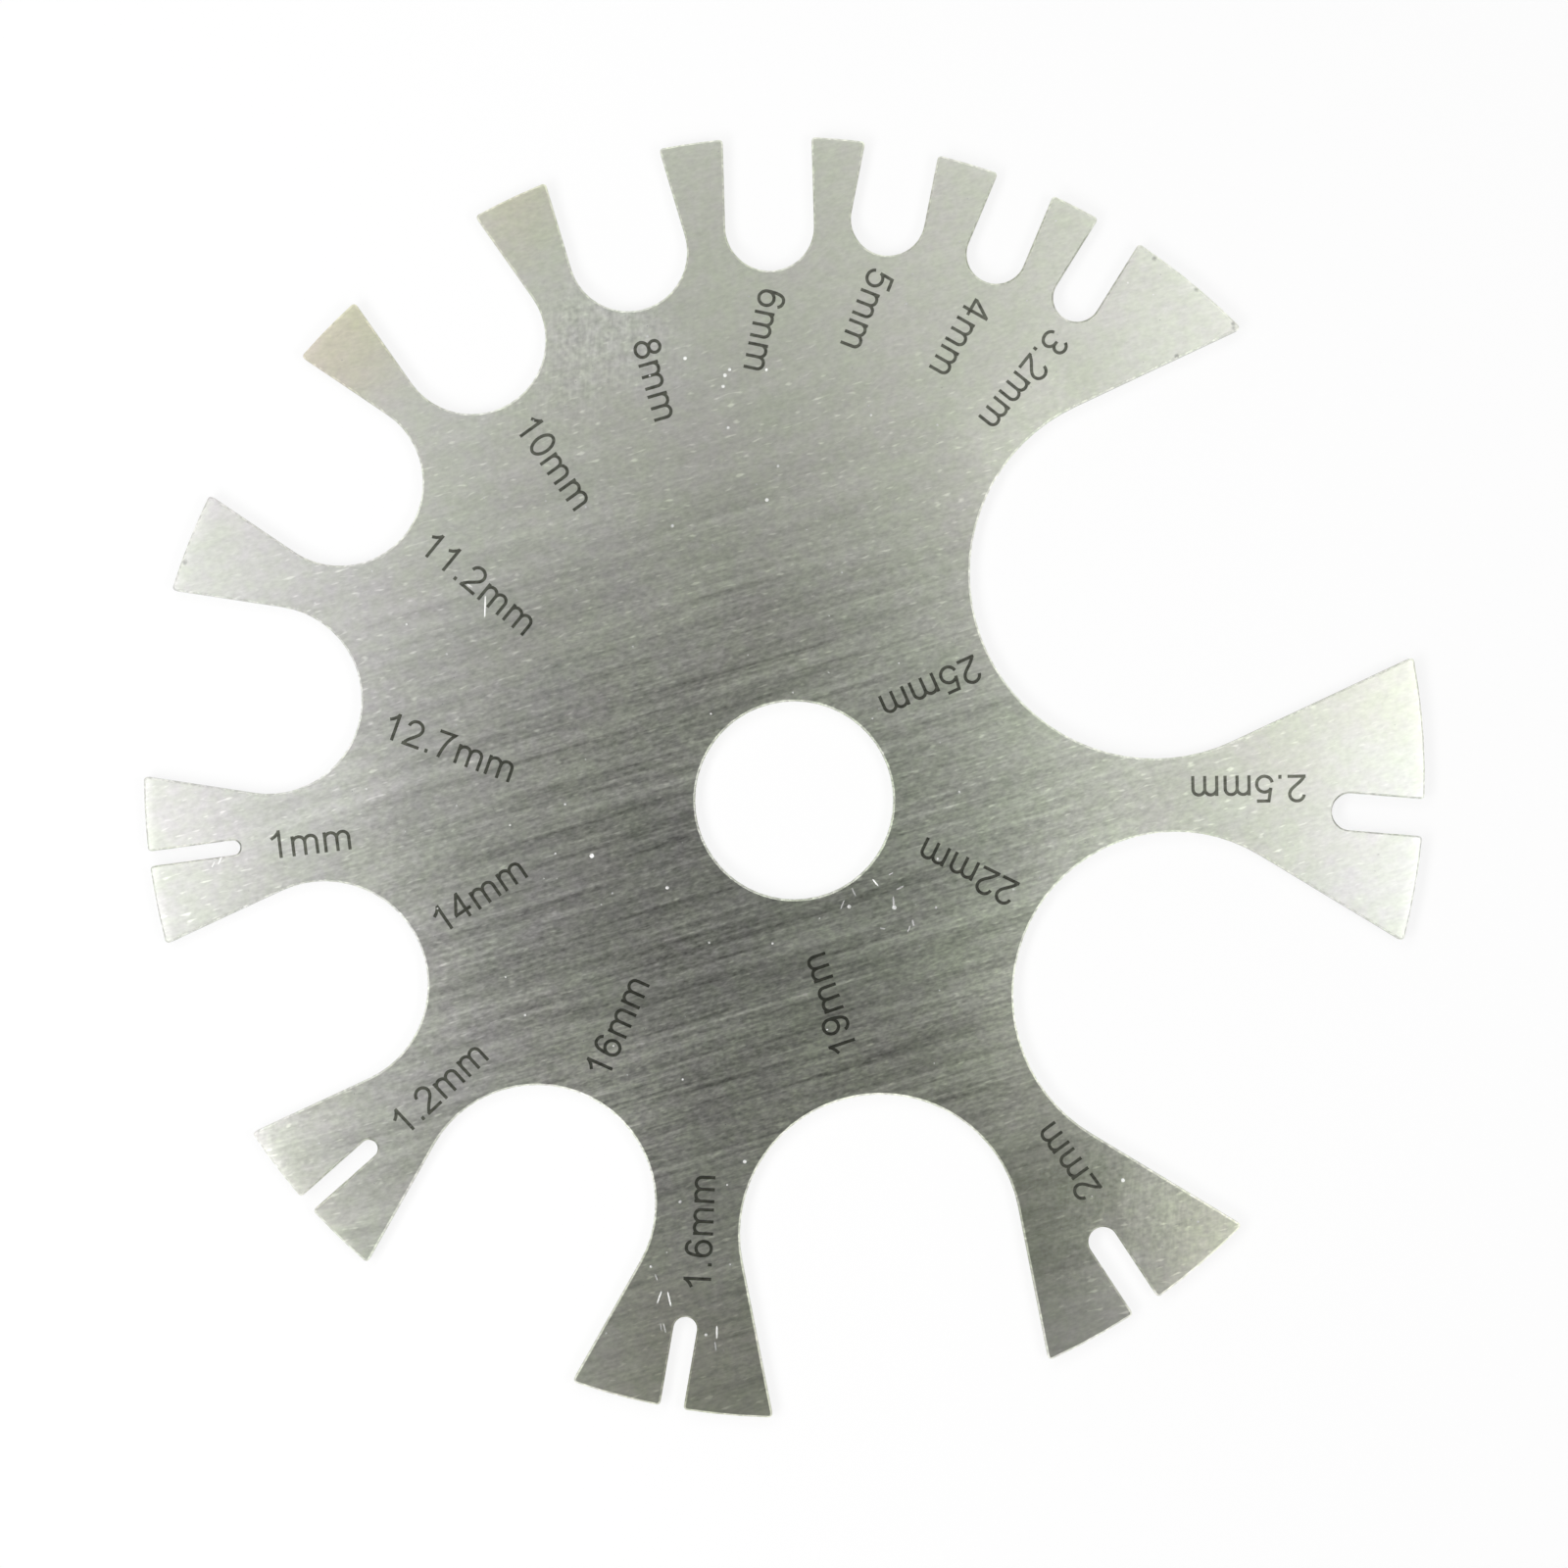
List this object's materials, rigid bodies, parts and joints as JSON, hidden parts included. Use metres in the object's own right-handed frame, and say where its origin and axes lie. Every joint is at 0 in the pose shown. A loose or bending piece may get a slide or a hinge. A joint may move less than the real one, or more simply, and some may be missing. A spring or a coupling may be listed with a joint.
{
  "type": "piercing gauge",
  "caption": "Flat round steel gauge plate with a centre hole and graded round-ended notches along its rim, each marked with its width in millimetres.",
  "frame": {"origin": "middle of the round rim, on the underside that the plate rests on", "axes": "+Z out of the marked face; +X towards the tooth that carries the 2.5 mm slot, +Y towards the 6 mm notch"},
  "size_m": [0.0864, 0.0864, 0.0012],
  "materials": {
    "steel": "straight fine brushing, satin, slightly warm grey",
    "marking": "matt, burnt dark into the face"
  },
  "bodies": {
    "root": {"gauge_plate": "steel"}
  },
  "joints": []
}
